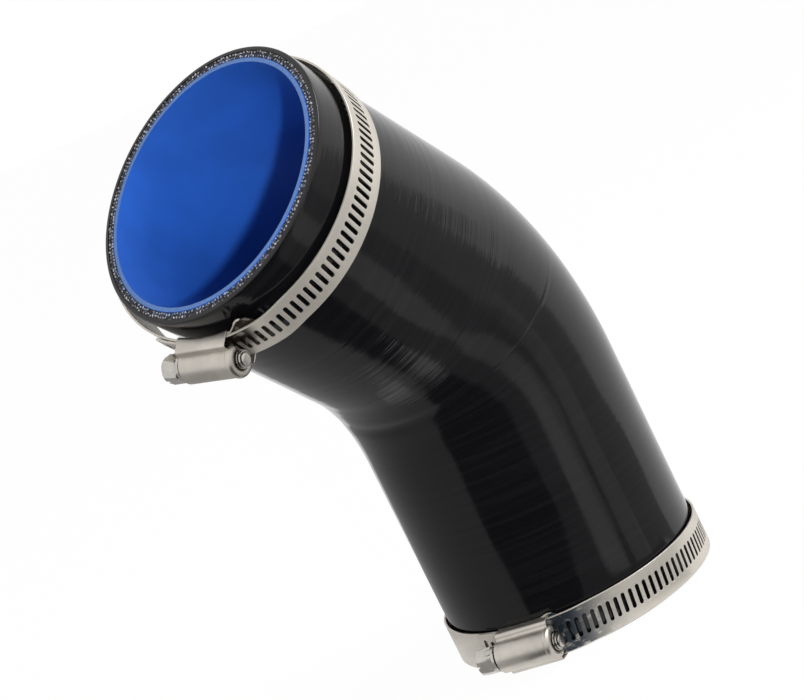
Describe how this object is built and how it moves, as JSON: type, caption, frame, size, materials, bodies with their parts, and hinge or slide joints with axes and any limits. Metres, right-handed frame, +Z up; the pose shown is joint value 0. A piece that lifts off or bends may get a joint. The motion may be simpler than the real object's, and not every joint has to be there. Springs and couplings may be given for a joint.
{
  "type": "silicone elbow hose",
  "caption": "Bent silicone hose with a smooth bore and layered wall, and a worm drive hose clamp round each leg.",
  "frame": {"origin": "centre of the part's box in plan, on the plane that the lower end stands on", "axes": "+Z up along the lower leg, the bend lies in the XZ plane and the upper leg leans toward -X, +Y across the bend"},
  "size_m": [0.1506, 0.0912, 0.2089],
  "materials": {
    "black_silicone": "semi-gloss silicone with fine wrap lines",
    "reinforcing_fabric": "woven fabric set in silicone, seen only on the cut ends",
    "blue_silicone": "smooth satin silicone",
    "stainless_strip": "bright rolled stainless strip",
    "screw_steel": "turned and plated steel"
  },
  "bodies": {
    "hose": {"outer_cover": "black_silicone", "fabric_plies": "reinforcing_fabric", "inner_liner": "blue_silicone", "upper_clamp_band": "stainless_strip", "upper_clamp_housing": "stainless_strip", "lower_clamp_band": "stainless_strip", "lower_clamp_housing": "stainless_strip"},
    "upper_screw": {"upper_clamp_screw": "screw_steel"},
    "lower_screw": {"lower_clamp_screw": "screw_steel"}
  },
  "joints": [
    {"name": "upper_screw_turn", "type": "hinge", "parent": "hose", "child": "upper_screw", "pos_m": [-0.06962, 0.00586, 0.13401], "axis": [0.0189, 0.9887, 0.1486], "range_deg": [-1000, 2840], "deforming": ["upper_clamp_band"]},
    {"name": "lower_screw_turn", "type": "hinge", "parent": "hose", "child": "lower_screw", "pos_m": [-0.01745, -0.0076, 0.0071], "axis": [-0.1478, 0.989, 0], "range_deg": [-470, 2840], "deforming": ["lower_clamp_band"]}
  ]
}
